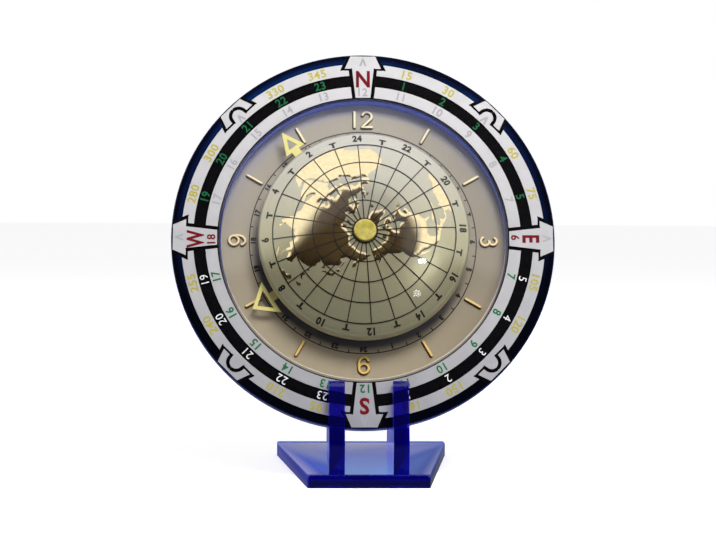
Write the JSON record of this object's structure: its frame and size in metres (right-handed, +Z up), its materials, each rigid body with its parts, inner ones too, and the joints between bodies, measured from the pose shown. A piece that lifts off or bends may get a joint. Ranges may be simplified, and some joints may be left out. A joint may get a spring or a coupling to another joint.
{
  "type": "world time clock",
  "caption": "Leaning round world time clock: blue acrylic ring with compass scale, domed crystal, turning world disc over gold hands, in two slotted brackets on a base.",
  "frame": {"origin": "centre of the base plate's underside", "axes": "+Z up, the dial faces -Y and leans back towards +Y, +X to the viewer's right"},
  "size_m": [0.2, 0.1126, 0.2211],
  "materials": {
    "blue_acrylic": "polished transparent blue acrylic sheet",
    "scale_black": "gloss black print",
    "scale_pale": "pale silver-grey print",
    "dial_satin": "satin champagne lacquer",
    "gold": "polished gold plate",
    "world_gold": "satin olive gold plate with polished land",
    "brass": "turned brass",
    "clear": "clear polished dome",
    "black_plastic": "moulded black plastic",
    "pale_plastic": "moulded pale plastic",
    "black_rubber": "black rubber",
    "steel": "bright steel",
    "nickel": "nickel-plated sheet",
    "cell": "plain printed battery sleeve",
    "board": "green solder mask",
    "resin": "black epoxy drop",
    "copper": "enamelled copper wire",
    "soft_iron": "soft iron"
  },
  "bodies": {
    "stand": {"base_plate": "blue_acrylic", "bracket_left": "blue_acrylic", "bracket_right": "blue_acrylic"},
    "clock_head": {"bezel_ring": "blue_acrylic", "scale_plate": "scale_black", "scale_tracks": "scale_pale", "dial_plate": "dial_satin", "dial_screws": "steel", "numeral_12": "gold", "numeral_3": "gold", "numeral_6": "gold", "numeral_9": "gold", "hour_bars": "gold", "crystal": "clear", "movement_case": "black_plastic", "movement_cover": "black_plastic", "case_gasket": "black_rubber", "dial_washer": "brass", "fixing_nut": "brass", "contact_negative": "nickel", "contact_positive": "nickel", "circuit_board": "board", "chip": "resin", "coil_bobbin": "pale_plastic", "coil_winding": "copper", "coil_core": "soft_iron"},
    "minute_work": {"minute_hand": "gold", "minute_pinion": "pale_plastic"},
    "hour_work": {"hour_hand": "gold", "hour_wheel": "pale_plastic"},
    "day_work": {"world_disc": "world_gold", "disc_hub": "brass", "disc_washer": "black_plastic", "centre_nut": "brass", "day_arbor": "steel"},
    "setting_work": {"setting_arbor": "pale_plastic", "set_knob": "black_plastic"},
    "idler_work": {"day_idler": "pale_plastic"},
    "battery_cell": {"battery": "cell"}
  },
  "joints": [
    {"name": "head_lift", "type": "slide", "parent": "stand", "child": "clock_head", "axis": [0, 0.2656, 0.9641], "range_m": [0, 0.045]},
    {"name": "minute_turn", "type": "hinge", "parent": "clock_head", "child": "minute_work", "pos_m": [-0.0021, -0.0197, 0.125], "axis": [0, 0.9641, -0.2656], "continuous": true},
    {"name": "hour_turn", "type": "hinge", "parent": "clock_head", "child": "hour_work", "pos_m": [-0.0021, -0.0197, 0.125], "axis": [0, 0.9641, -0.2656], "continuous": true},
    {"name": "world_turn", "type": "hinge", "parent": "clock_head", "child": "day_work", "pos_m": [-0.0021, -0.0197, 0.125], "axis": [0, 0.9641, -0.2656], "continuous": true},
    {"name": "knob_turn", "type": "hinge", "parent": "clock_head", "child": "setting_work", "pos_m": [0.00609, -0.01818, 0.13053], "axis": [0, 0.9641, -0.2656], "continuous": true},
    {"name": "idler_turn", "type": "hinge", "parent": "clock_head", "child": "idler_work", "pos_m": [-0.01193, -0.01787, 0.13164], "axis": [0, 0.9641, -0.2656], "continuous": true},
    {"name": "battery_out", "type": "slide", "parent": "clock_head", "child": "battery_cell", "axis": [0, 0.9641, -0.2656], "range_m": [0, 0.02]}
  ],
  "couplings": [
    {"joint": "hour_turn", "follows": "minute_turn", "ratio": 0.083333},
    {"joint": "world_turn", "follows": "minute_turn", "ratio": 0.041667},
    {"joint": "knob_turn", "follows": "minute_turn", "ratio": -0.33333},
    {"joint": "idler_turn", "follows": "minute_turn", "ratio": -0.083333}
  ]
}
